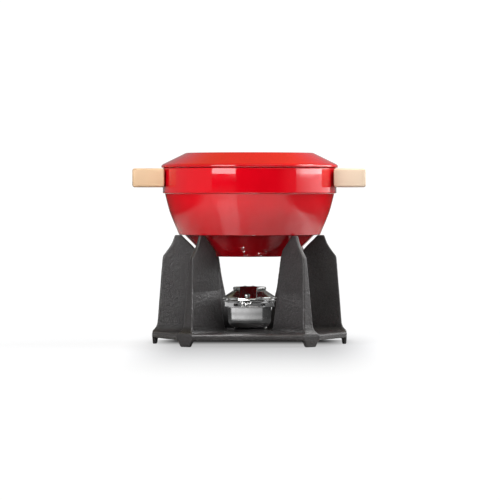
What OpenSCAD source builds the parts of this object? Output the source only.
// Fondue pot set: enamelled cast-iron pot with a knobless lid and two wooden
// side grips, a cast-iron stand with six fins, and a spirit burner with an
// air regulator ring and a snuffer cap.
// Frame: +Z up, origin on the table under the middle of the stand, front is -Y.
// Units are millimetres.

/* [Stand] */
// Distance from the centre to the outer face of each foot
foot_r = 123.5; // [118:0.5:128]
// Angle of the four diagonal fins from the X axis, which leaves the wide front gap
fin_ang = 50; // [48:0.5:52]
// Height of the fin tips, where the pot ledge rests
stand_h = 138; // [130:1:145]
// Underside of the base plate above the table
plate_z = 8.6; // [8:0.1:9.4]
// Thickness of the base plate
plate_t = 7.6; // [7:0.1:8]
// Fin thickness at its tip
fin_tip_t = 3.5; // [3:0.1:5]
// Growth of the fin thickness for each millimetre down from the tip (casting draft)
fin_draft = 0.105; // [0.08:0.005:0.12]
// Width of each foot where it touches the table
foot_w = 15.5; // [12:0.5:20]
// Radius of the round boss that the burner stands on
seat_r = 19.5; // [16:0.5:24]
// Height of that boss above the plate
seat_h = 3.8; // [2:0.1:4]

/* [Pot] */
// Outside radius of the straight band under the lid
band_r = 110.2; // [108:0.1:112]
// Height of the straight band
band_h = 32.4; // [28:0.1:36]
// Height of the pot from its flat bottom to its rim
pot_h = 112; // [108:0.5:116]
// Radius of the inside corner of the resting ledge
ledge_in_r = 81.8; // [78:0.1:83]
// Radius of the outside corner of the resting ledge
ledge_out_r = 89.3; // [88:0.1:91]
// Radius of the flat bottom
base_r = 55.5; // [48:0.5:60]

/* [Lid] */
// Outside radius of the lid
lid_r = 112; // [111:0.1:114]
// Radius of the flat top of the lid
lid_top_r = 80.5; // [70:0.5:90]
// Height of the lid above the pot rim
lid_h = 18.9; // [16:0.1:24]
// Wall thickness of the lid
lid_t = 4.2; // [3.5:0.1:5]

/* [Grips] */
// Distance from the centre to the outer face of a grip
grip_x = 147; // [142:0.5:152]
// Length of a grip
grip_l = 80; // [70:1:90]
// Height of a grip's section
grip_h = 23.9; // [22:0.1:26]
// Corner radius of a grip's section
grip_round = 2.6; // [1.5:0.1:4]
// Distance from the middle of a grip to each of its two screws
screw_y = 16; // [12:0.5:20]

/* [Burner] */
// Outside radius of the burner bowl
bowl_r = 27.6; // [26:0.1:29]
// Radius of the rim of the flame cone
cone_r = 34.5; // [33:0.1:34.8]
// Outside radius of the air regulator ring
ring_r = 31.5; // [31:0.1:32]
// Radius of the snuffer cap
cap_r = 21; // [20:0.1:22]
// Sheet thickness of the burner parts
sheet = 0.8; // [0.6:0.1:1]
// Number of air slots round the bowl
slots = 6; // [5:1:7]
// Angle of the regulator tab from the front
tab_turn = -4.5; // [-10:0.5:10]
// Angle of the snuffer handle from the front
handle_turn = -2.5; // [-5:0.5:5]

/* [Hidden] */

$fn = 96;
gap = 0.1; // clearance between stacked pieces
small_steel = [0.7, 0.7, 0.72];
sheet_steel = [0.78, 0.79, 0.8];

// Heights: _z0 is the underside of a piece, _z1 its top.
plate_top = plate_z + plate_t;
ledge_z = stand_h + gap; // the pot hangs by its ledge on the fin tips
ledge_rise = 27;         // ledge above the pot bottom
pot_z0 = ledge_z - ledge_rise;
pot_z1 = pot_z0 + pot_h;
band_z0 = pot_z1 - band_h;
lid_z0 = pot_z1 + gap;

// ---------- helpers ----------

module at_z(z) {
    translate([0, 0, z]) children();
}

module tube(outer_r, inner_r, height) {
    difference() {
        cylinder(r = outer_r, h = height);
        at_z(-1) cylinder(r = inner_r, h = height + 2);
    }
}

// Block with an [x, z] profile, 40 thick and centred on Y = 0.
module side_block(profile) {
    rotate([90, 0, 0]) at_z(-20) linear_extrude(40) polygon(profile);
}

// Block with a [y, z] profile, running along X from x0.
module end_block(profile, x0, length) {
    rotate([90, 0, 90]) at_z(x0) linear_extrude(length) polygon(profile);
}

// Closes a half outline with its mirror image across the vertical axis.
function mirrored(half) =
    concat(half, [for (i = [len(half) - 1 : -1 : 0]) [-half[i][0], half[i][1]]]);

function arc(centre, radius, from, to, steps = 6) = [
    for (i = [0 : steps])
        let (angle = from + (to - from) * i / steps)
        centre + radius * [cos(angle), sin(angle)]];

// ---------- stand ----------

fins = [0, fin_ang, 180 - fin_ang, 180, 180 + fin_ang, 360 - fin_ang];
fin_root_z = plate_top - 2; // the fins start inside the plate
fillet_z1 = 27;             // top of the flare at the fin root
fin_in = 55.9;              // inner edge of a fin at fillet_z1
fin_lean = 0.1305;          // outward slope of that edge
bevel = 8.7;                // bevel line's crossing of the cutter axis, past the corner
bevel_over = 6;             // cutter reach outside the fin
corner_y = 13.5;            // half width of the plate at each foot

function fin_t(z) = fin_tip_t + fin_draft * (stand_h - z);

// Fin seen from the side: [distance from the centre, height]
fin_outer = [
    [52, fin_root_z], [foot_r - 1.2, fin_root_z], [foot_r - 1.2, plate_top + 0.6],
    [120.6, 19.2], [118.3, 22.2], [116.9, 27], [110.6, 108], [109.9, 111.3],
    [107.6, 114.6], [103.7, 119.5], [100.6, 124], [98.0, 129], [96.1, 134],
    [94.8, stand_h], [85.4, stand_h], [68.3, 119.8], [66.9, 117.2], [66.4, 113.5]];
fin_side = concat(fin_outer, [[fin_in, fillet_z1], [54.6, 20.5]]);
// The two back fins reach further in, in a sweep towards the boss.
fin_side_back = concat(fin_outer, [
    [64.9, 104], [62.0, 86], [58.7, 72], [56.9, 66], [54.2, 57], [51.3, 48],
    [48.6, 40], [46.4, 33], [44.9, 27], [43.2, 20.5], [42, fin_root_z]]);

// Half of a fin seen end on: [half thickness, height]
fin_half = [
    [fin_t(fin_root_z) / 2 + 4.8, fin_root_z],
    [fin_t(17) / 2 + 3.6, plate_top + 0.5],
    [fin_t(19.2) / 2 + 1.7, 19.2],
    [fin_t(22.5) / 2 + 0.6, 22.5],
    [fin_t(fillet_z1) / 2, fillet_z1],
    [fin_t(stand_h) / 2, stand_h]];

// Foot seen end on, half outline: [half width, height]
foot_half = [
    [foot_w / 2, 0], [10.2, plate_z - 4.2], [11.2, plate_z - 1],
    [12.8, plate_z], [12.8, plate_z + 2]];
// Foot seen from the side: [distance from the centre, height]
foot_side = [
    [foot_r - 0.8, 0], [foot_r - 0.2, plate_z - 1], [foot_r - 0.2, plate_z + 2],
    [foot_r - 7.2, plate_z + 2], [foot_r - 6.4, plate_z - 2], [foot_r - 6, 0]];

module fin_block(profile) {
    intersection() {
        side_block(profile);
        end_block(mirrored(fin_half), x0 = 40, length = 86);
    }
}

// Fin with both inner edges bevelled.
module bevelled_fin() {
    // Angles that line the edge bevel up with the lean and the draft.
    lean = atan(fin_lean);
    draft = atan(fin_draft / 2 * cos(lean));
    difference() {
        fin_block(fin_side);
        for (side = [1, -1])
            translate([fin_in, side * fin_t(fillet_z1) / 2, fillet_z1])
                rotate([side * draft, lean, 0]) at_z(-12) linear_extrude(120) polygon([
                    [bevel, side * bevel_over],
                    [-bevel_over, side * bevel_over],
                    [-bevel_over, -side * bevel]]);
    }
}

// A foot is a flat peg that stands across its fin's direction.
module foot() {
    intersection() {
        end_block(mirrored(foot_half), x0 = foot_r - 12, length = 14);
        side_block(foot_side);
    }
}

module stand() {
    plate = [
        for (a = fins)
            for (y = [-corner_y, corner_y])
                [foot_r * cos(a) - y * sin(a), foot_r * sin(a) + y * cos(a)]];
    color([0.2, 0.19, 0.19]) union() {
        at_z(plate_z) linear_extrude(plate_t) polygon(plate);
        for (a = fins) rotate([0, 0, a]) {
            if (a > 0 && a < 180) fin_block(fin_side_back);
            else bevelled_fin();
            foot();
        }
        // Boss that carries the burner.
        at_z(plate_top - 1) cylinder(r = seat_r, h = seat_h + 1, $fn = 64);
    }
}

// ---------- pot and lid ----------

// Outside of the bowl from the ledge up to the band: [radius, height above the ledge]
bowl_curve = [
    [ledge_out_r, 0.8], [91.7, 5.6], [95.0, 13.2], [98.1, 20.8],
    [101.0, 28.4], [103.3, 36.0], [105.3, 43.7], [107.3, 52.4]];
// Inside of the bowl, from rim to middle: [radius, height]
cavity = [
    [104.9, pot_z1], [103.8, band_z0 + 4], [102.2, band_z0 - 6],
    [100.1, ledge_z + 36], [96.6, ledge_z + 28], [93.0, ledge_z + 19.5],
    [88.6, ledge_z + 11.5], [84.2, ledge_z + 6.6], [78.3, ledge_z + 3.4],
    [53.8, pot_z0 + 6.6], [48.5, pot_z0 + 5.2], [0, pot_z0 + 5]];
pot_profile = concat(
    [[0, pot_z0], [base_r - 2, pot_z0], [base_r, pot_z0 + 0.8]],
    [[ledge_in_r, ledge_z], [ledge_out_r - 0.8, ledge_z]],
    [for (point = bowl_curve) [point[0], ledge_z + point[1]]],
    [[107.4, band_z0], [band_r - 0.5, band_z0], [band_r, band_z0 + 0.5],
     [band_r, pot_z1 - 1.4], [band_r - 0.6, pot_z1 - 0.4], [band_r - 1.6, pot_z1]],
    cavity);

module pot_body() {
    color([0.83, 0.05, 0.08]) union() {
        rotate_extrude($fn = 160) polygon(pot_profile);
        for (side = [1, -1]) on_side(side) lug();
    }
}

module lid() {
    top = lid_z0 + lid_h;
    color([0.85, 0.08, 0.07]) rotate_extrude($fn = 160) polygon([
        // Outside, from the middle to the rim
        [0, top], [lid_top_r - 3, top], [lid_top_r - 0.6, top - 0.4],
        [lid_top_r + 1.6, top - 1.4], [lid_r - 2.6, lid_z0 + 5.2],
        [lid_r - 0.8, lid_z0 + 4], [lid_r, lid_z0 + 2.6], [lid_r, lid_z0 + 1.2],
        [lid_r - 1, lid_z0],
        // Lip that drops inside the pot rim
        [103.6, lid_z0], [103.4, lid_z0 - 0.6], [103.1, lid_z0 - 3.4],
        [102.5, lid_z0 - 4], [100.6, lid_z0 - 4], [99.9, lid_z0 - 3.2],
        [99.4, lid_z0 + 0.4],
        // Inside, back to the middle
        [97, lid_z0 + 3.4], [lid_top_r - 0.5, top - lid_t - 1.6],
        [lid_top_r - 4, top - lid_t], [0, top - lid_t]]);
}

// ---------- grips ----------
// Everything here is built on the right (+X) side; on_side(-1) turns it to the left.

grip_z1 = pot_z1 - 0.8;
grip_z0 = grip_z1 - grip_h;
grip_in_r = band_r + 2.8;
grip_start_x = 98; // inner end of the bar before it is hollowed
lug_t = 8;
lug_w = 52;
lug_r = 133;       // outer end of the lug
lug_x0 = 105;
lug_z0 = grip_z0 + (grip_h - lug_t) / 2;
lug_z1 = lug_z0 + lug_t;
slot_w = lug_w + 1.6;
screw_x = 123.5;
head_h = 2.3;
head_z1 = grip_z0 + 2.7; // face of the screw head that meets the washer
insert_h = 5.2;

module on_side(side) {
    rotate([0, 0, side > 0 ? 0 : 180]) children();
}

module at_screws() {
    for (y = [-screw_y, screw_y]) translate([screw_x, y, 0]) children();
}

// Tongue cast on the band. It goes into the slot of a grip.
module lug() {
    difference() {
        intersection() {
            translate([lug_x0, -lug_w / 2, lug_z0]) cube([lug_r - lug_x0, lug_w, lug_t]);
            at_z(lug_z0 - 1) tube(lug_r, 107, lug_t + 2);
        }
        at_screws() at_z(lug_z0 - 1) cylinder(r = 2.4, h = lug_t + 2, $fn = 32);
    }
}

// Bar along Y with rounded outer edges, hollowed on the pot side to follow the band.
module grip_blank() {
    end_y = grip_l / 2;
    depth = grip_x - grip_start_x;
    difference() {
        union() {
            translate([grip_start_x, -end_y, grip_z0 + grip_round])
                cube([depth, grip_l, grip_h - 2 * grip_round]);
            translate([grip_start_x, -end_y, grip_z0])
                cube([depth - grip_round, grip_l, grip_h]);
            for (z = [grip_z0 + grip_round, grip_z1 - grip_round])
                translate([grip_x - grip_round, end_y, z]) rotate([90, 0, 0])
                    cylinder(r = grip_round, h = grip_l, $fn = 32);
        }
        at_z(grip_z0 - 1) cylinder(r = grip_in_r, h = grip_h + 2, $fn = 160);
    }
}

module grip(side) {
    color([0.88, 0.72, 0.53]) on_side(side) difference() {
        grip_blank();
        // Slot for the tongue.
        intersection() {
            translate([100, -slot_w / 2, lug_z0 - 0.4]) cube([34.2, slot_w, lug_t + 0.8]);
            at_z(lug_z0 - 2) cylinder(r = lug_r + 1, h = lug_t + 4);
        }
        // Counterbore, screw hole and insert hole.
        at_screws() {
            at_z(grip_z0 - 1) cylinder(r = 4.9, h = 4.6, $fn = 32);
            at_z(grip_z0 - 1) cylinder(r = 2.3, h = grip_h - 4, $fn = 32);
            at_z(lug_z1) cylinder(r = 3.3, h = 6, $fn = 32);
        }
    }
}

// Pan-head screws with a cross recess, head down in the counterbore.
module screws(side) {
    color([0.75, 0.75, 0.77]) on_side(side) at_screws() difference() {
        union() {
            at_z(head_z1 - head_h) cylinder(r = 3.9, h = head_h, $fn = 32);
            at_z(head_z1 - 0.1) cylinder(r = 2, h = lug_z1 + 4.9 - head_z1, $fn = 32);
        }
        for (a = [0, 90]) rotate([0, 0, a])
            translate([-2.2, -0.4, head_z1 - 3]) cube([4.4, 0.8, 1.9]);
    }
}

module washers(side) {
    color(small_steel) on_side(side) at_screws()
        at_z(head_z1 + 0.05) tube(4.6, 2.15, 0.8, $fn = 32);
}

// Sleeves with three ribs, above the lug.
module inserts(side) {
    color([0.8, 0.65, 0.3]) on_side(side) at_screws() at_z(lug_z1 + 0.5) difference() {
        union() {
            cylinder(r = 3.0, h = insert_h, $fn = 32);
            for (z = [0.5, 2.1, 3.7]) at_z(z) cylinder(r = 3.25, h = 0.8, $fn = 32);
        }
        at_z(-1) cylinder(r = 2.06, h = insert_h + 2.8, $fn = 32);
    }
}

// ---------- burner: bowl and regulator ----------

bowl_z0 = plate_top + seat_h + gap;
bowl_z1 = bowl_z0 + 34;
bowl_round = 9.5; // outside radius of the bowl's bottom edge
ring_in_r = bowl_r + gap;
ring_z0 = 46.4;
ring_z1 = 53.8;
air_z = 48.6;
air_w = 10;
air_h = 3;
tab_rivet_ang = 10; // each side of the tab
tab_rivet_z = 48.9;

module air_slots(from_r, to_r) {
    for (i = [0 : slots - 1]) rotate([0, 0, i * 360 / slots])
        translate([from_r, -air_w / 2, air_z]) cube([to_r - from_r, air_w, air_h]);
}

module burner_bowl() {
    round_centre = [bowl_r - bowl_round, bowl_z0 + bowl_round];
    color(sheet_steel) difference() {
        rotate_extrude() polygon(concat(
            [[0, bowl_z0]],
            arc(round_centre, bowl_round, -90, 0),
            [[bowl_r, bowl_z1], [bowl_r - sheet, bowl_z1]],
            arc(round_centre, bowl_round - sheet, 0, -90),
            [[0, bowl_z0 + sheet]]));
        air_slots(bowl_r - 3, bowl_r + 2);
    }
}

// Channel section, open towards the bowl.
module regulator_ring() {
    color([0.75, 0.76, 0.78]) rotate([0, 0, tab_turn]) difference() {
        rotate_extrude() polygon([
            [ring_in_r, ring_z0], [ring_r - 0.5, ring_z0], [ring_r, ring_z0 + 0.5],
            [ring_r, ring_z1 - 0.5], [ring_r - 0.5, ring_z1], [ring_in_r, ring_z1],
            [ring_in_r, ring_z1 - sheet], [ring_r - sheet, ring_z1 - sheet],
            [ring_r - sheet, ring_z0 + sheet], [ring_in_r, ring_z0 + sheet]]);
        rotate([0, 0, 6]) air_slots(ring_r - 2, ring_r + 2);
    }
}

// Places children at both tab rivets, with their Z axis pointing outwards.
module at_tab_rivets(radius) {
    for (a = [-tab_rivet_ang, tab_rivet_ang]) rotate([0, 0, a])
        translate([0, -radius, tab_rivet_z]) rotate([90, 0, 0]) children();
}

// Thumb tab folded to a V, fixed to the front of the ring.
module regulator_tab() {
    color([0.85, 0.86, 0.88]) rotate([0, 0, tab_turn]) union() {
        translate([0, -ring_r - 0.05, 0.4]) rotate([90, 0, 0]) linear_extrude(9.5) polygon([
            [-7.2, 53.6], [-5.6, 53.6], [0, 47.2], [5.6, 53.6], [7.2, 53.6],
            [0.7, 45.4], [-0.7, 45.4]]);
        // Mounting web against the ring.
        difference() {
            intersection() {
                translate([-7.4, -ring_r - 1.4, 46.8]) cube([14.8, 3.2, 5.2]);
                at_z(46) tube(ring_r + 0.95, ring_r + 0.05, 8);
            }
            at_tab_rivets(0) cylinder(r = 0.65, h = 40, $fn = 24);
        }
    }
}

module tab_rivets() {
    color(small_steel) rotate([0, 0, tab_turn]) at_tab_rivets(ring_r + 1) union() {
        cylinder(r = 1.1, h = 0.7, $fn = 24);
        at_z(-0.75) cylinder(r = 0.6, h = 0.8, $fn = 24);
    }
}

// ---------- burner: fuel cup and wick ----------

cup_z0 = bowl_z0 + 1.2;
cup_z1 = 46.9;
cup_t = 0.5;
wick_r = 23.9;
wick_z0 = bowl_z0 + 8.1;
wick_z1 = 42.6;
mesh_pitch = 5.4;

module fuel_cup() {
    color([0.65, 0.66, 0.68]) rotate_extrude() polygon([
        [0, cup_z0], [19.2, cup_z0], [24.4, bowl_z0 + 6.2], [24.6, bowl_z0 + 8],
        [24.6, cup_z1 - cup_t], [25.6, cup_z1 - cup_t], [25.6, cup_z1], [24.1, cup_z1],
        [24.1, bowl_z0 + 8], [23.9, bowl_z0 + 6.4], [19.0, cup_z0 + cup_t],
        [0, cup_z0 + cup_t]]);
}

module wick_wadding() {
    color([0.93, 0.92, 0.88]) at_z(wick_z0) cylinder(r = wick_r, h = wick_z1 - wick_z0);
}

// Disc with a round field of holes on a square grid.
module wick_gauze() {
    color([0.6, 0.61, 0.63]) difference() {
        at_z(wick_z1 + 0.2) cylinder(r = wick_r, h = 0.6);
        for (x = [-3 : 3])
            for (y = [-3 : 3])
                if (x * x + y * y < 10.5)
                    translate([x * mesh_pitch, y * mesh_pitch, 42])
                        cylinder(r = 1.7, h = 2, $fn = 16);
    }
}

module gauze_ring() {
    color([0.7, 0.71, 0.73]) at_z(wick_z1 + 0.9) tube(24.0, 21.4, 1.6);
}

// ---------- burner: flange and cone ----------

flange_z = bowl_z1 + gap;
cone_z = 57.4;
cap_z = 68.4;
cone_z1 = cap_z - gap;

// Fixed flange on the bowl rim, with a neck that drops inside the bowl.
module drip_flange() {
    color([0.72, 0.73, 0.75]) rotate_extrude() polygon([
        [26.6, flange_z - 5], [26.6, flange_z], [33.0, flange_z], [33.4, flange_z + 0.4],
        [33.4, flange_z + 0.9], [33.0, flange_z + 1.2], [26.0, flange_z + sheet],
        [25.8, flange_z + 0.4], [25.8, flange_z - 5]]);
}

module flange_posts() {
    color(small_steel) for (a = [30 : 60 : 330]) rotate([0, 0, a])
        translate([30.2, 0, flange_z + 1.25])
            cylinder(r = 1.5, h = cone_z - flange_z - 1.3, $fn = 24);
}

// Conical top that guides the flame. Its rolled rim is the widest part of the burner.
module flame_cone() {
    color(sheet_steel) rotate_extrude() polygon([
        [28, cone_z], [33.4, cone_z], [34.2, cone_z + 0.3], [cone_r, cone_z + 0.9],
        [cone_r, cone_z + 1.5], [34.1, cone_z + 2.1], [32.6, cone_z + 2.5],
        [20.4, cone_z1 - 0.8], [19.8, cone_z1], [17, cone_z1], [17, cone_z1 - 0.8],
        [19.2, cone_z1 - 0.8], [19.7, cone_z1 - 1.6], [31.6, cone_z + 1.6],
        [28, cone_z + sheet]]);
}

// ---------- burner: snuffer ----------

cap_h = 3.8;
cap_z1 = cap_z + cap_h;
strip_t = 0.9;
strip_w = 22;
strip_z = 58.4;           // underside of the strip's level front end
strip_top_z = cap_z1 + gap; // underside of the strip over the cap
strip_lip = 1.7;          // drop of the front edge
knob_y = -46.5;

// Underside of the handle strip: [y, z]
handle_path = [
    [-5, strip_top_z], [-20.4, strip_top_z], [-22, cap_z + 2.5],
    [-36.2, strip_z + 0.9], [-38.2, strip_z], [-53, strip_z]];
// Extra forward shift of each upper point, in the order of handle_path
upper_shift = [0, 0, 0.4, 0, 0, 0];

module snuffer_cap() {
    inner_r = cap_r - sheet;
    color([0.8, 0.81, 0.82]) rotate_extrude() polygon([
        [0, cap_z1 - sheet], [inner_r, cap_z1 - sheet], [inner_r, cap_z], [cap_r, cap_z],
        [cap_r, cap_z1 - 0.7], [cap_r - 0.7, cap_z1], [0, cap_z1]]);
}

module at_cap_rivets(z) {
    for (x = [-5, 5]) translate([x, -12, z]) children();
}

// Strip handle: over the cap, down the cone and out to the front.
module snuffer_handle() {
    upper = [
        for (i = [len(handle_path) - 1 : -1 : 0])
            handle_path[i] + [-upper_shift[i], strip_t]];
    color([0.83, 0.84, 0.86]) rotate([0, 0, handle_turn]) difference() {
        union() {
            end_block(concat(handle_path, upper), x0 = -strip_w / 2, length = strip_w);
            // Turned-down front edge.
            translate([-strip_w / 2, -53.9, strip_z - strip_lip])
                cube([strip_w, 1, strip_t + strip_lip]);
        }
        at_cap_rivets(cap_z) cylinder(r = 1.25, h = 10, $fn = 24);
        translate([0, knob_y, strip_z - 5]) cylinder(r = 1.25, h = 10, $fn = 24);
    }
}

module snuffer_rivets() {
    color(small_steel) rotate([0, 0, handle_turn]) at_cap_rivets(strip_top_z) union() {
        cylinder(r = 1.2, h = strip_t + 0.1, $fn = 24);
        at_z(strip_t + 0.05) cylinder(r1 = 2.2, r2 = 1.5, h = 0.45, $fn = 24);
    }
}

// Ball knob with a neck through the strip and a head under it.
module snuffer_knob() {
    neck_z1 = strip_z + strip_t + 0.1;
    color([0.85, 0.85, 0.87]) rotate([0, 0, handle_turn]) translate([0, knob_y, 0])
        rotate_extrude($fn = 48) polygon(concat(
            [[0, strip_z - 0.8], [2.0, strip_z - 0.8], [2.0, strip_z - 0.1],
             [1.2, strip_z - 0.1], [1.2, neck_z1], [2.1, neck_z1], [2.0, neck_z1 + 0.7]],
            arc([0.8, strip_z + 3.5], 3.0, -45, 90, steps = 8),
            [[0, strip_z + 6.5]]));
}

stand();
pot_body();
grip(-1);  // handle_left
grip(1);  // handle_right
screws(-1);  // handle_screws_left
screws(1);  // handle_screws_right
washers(-1);  // handle_washers_left
washers(1);  // handle_washers_right
inserts(-1);  // handle_inserts_left
inserts(1);  // handle_inserts_right
lid();
burner_bowl();
fuel_cup();
wick_wadding();
wick_gauze();
gauze_ring();
drip_flange();
flange_posts();
flame_cone();
regulator_ring();
regulator_tab();
tab_rivets();
snuffer_cap();
snuffer_handle();
snuffer_rivets();
snuffer_knob();
